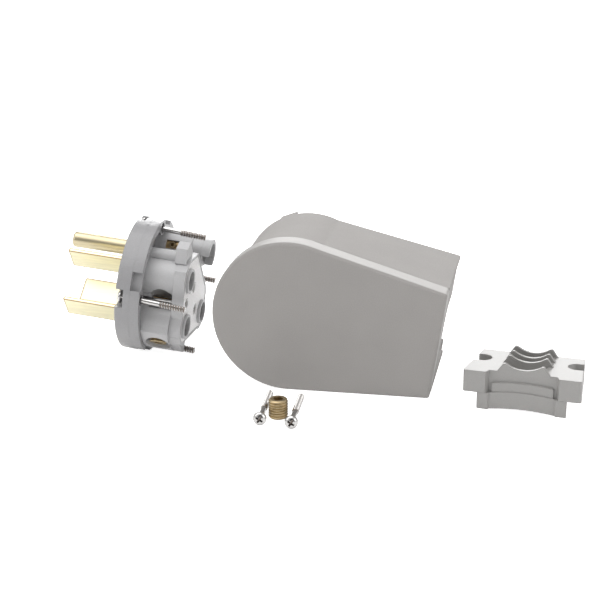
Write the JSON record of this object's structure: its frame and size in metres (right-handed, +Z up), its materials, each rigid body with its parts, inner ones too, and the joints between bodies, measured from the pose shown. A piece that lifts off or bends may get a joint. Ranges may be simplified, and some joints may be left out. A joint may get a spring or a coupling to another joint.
{
  "type": "three-phase power plug",
  "caption": "Straight-blade three-phase plug with ground pin, taken apart: angled housing, face assembly, ribbed cord clamp and loose screws.",
  "frame": {"origin": "on the floor, in the middle of the housing flange's resting strip, under the round end's axis", "axes": "+X along the housing's lower side to its cord end, +Y from its closed face to its mouth, +Z up"},
  "size_m": [0.2331, 0.1158, 0.065],
  "materials": {
    "housing": "satin moulded",
    "clamp": "satin moulded",
    "face": "satin moulded",
    "block": "satin moulded",
    "retainer": "speckled moulded",
    "blade_brass": "polished",
    "pin_brass": "polished",
    "terminal_brass": "machined",
    "screw_brass": "machined",
    "insert_brass": "machined",
    "steel": "bright plated"
  },
  "bodies": {
    "plug": {"housing": "housing", "cord_clamp": "clamp", "assembly_inserts": "insert_brass", "clamp_inserts": "insert_brass", "face_body": "face", "terminal_block": "block", "retainer_plate": "retainer", "retainer_screws": "steel", "blade_a": "blade_brass", "blade_b": "blade_brass", "blade_c": "blade_brass", "ground_pin": "pin_brass", "terminal_a": "terminal_brass", "terminal_b": "terminal_brass", "terminal_c": "terminal_brass", "terminal_ground": "terminal_brass", "terminal_screw_a": "screw_brass", "clamp_screw_left": "steel", "clamp_screw_right": "steel"},
    "terminal_screw_b": {"terminal_screw_b": "screw_brass"},
    "terminal_screw_c": {"terminal_screw_c": "screw_brass"},
    "terminal_screw_ground": {"terminal_screw_ground": "screw_brass"},
    "assembly_screw_right": {"assembly_screw_right": "steel"},
    "assembly_screw_top": {"assembly_screw_top": "steel"},
    "assembly_screw_left": {"assembly_screw_left": "steel"},
    "assembly_screw_bottom": {"assembly_screw_bottom": "steel"}
  },
  "joints": [
    {"name": "turn_terminal_screw_b", "type": "hinge", "parent": "plug", "child": "terminal_screw_b", "pos_m": [-0.0608, 0.04933, 0.01522], "axis": [-0.0498, 0.6646, -0.7455], "continuous": true},
    {"name": "turn_terminal_screw_c", "type": "hinge", "parent": "plug", "child": "terminal_screw_c", "pos_m": [-0.06151, 0.02325, 0.01683], "axis": [-0.0997, -0.4894, -0.8663], "continuous": true},
    {"name": "turn_terminal_screw_ground", "type": "hinge", "parent": "plug", "child": "terminal_screw_ground", "pos_m": [-0.06147, 0.04927, 0.04377], "axis": [0.0166, -0.8799, 0.475], "continuous": true},
    {"name": "turn_assembly_screw_right", "type": "hinge", "parent": "plug", "child": "assembly_screw_right", "pos_m": [-0.07196, 0.06358, 0.02854], "axis": [0.9885, -0.0328, -0.1478], "continuous": true},
    {"name": "turn_assembly_screw_top", "type": "hinge", "parent": "plug", "child": "assembly_screw_top", "pos_m": [-0.07011, 0.03886, 0.05626], "axis": [0.9885, -0.0328, -0.1478], "continuous": true},
    {"name": "turn_assembly_screw_left", "type": "hinge", "parent": "plug", "child": "assembly_screw_left", "pos_m": [-0.07339, 0.01109, 0.03173], "axis": [0.9885, -0.0328, -0.1478], "continuous": true},
    {"name": "turn_assembly_screw_bottom", "type": "hinge", "parent": "plug", "child": "assembly_screw_bottom", "pos_m": [-0.07524, 0.03581, 0.004], "axis": [0.9813, -0.1718, -0.0872], "continuous": true}
  ]
}
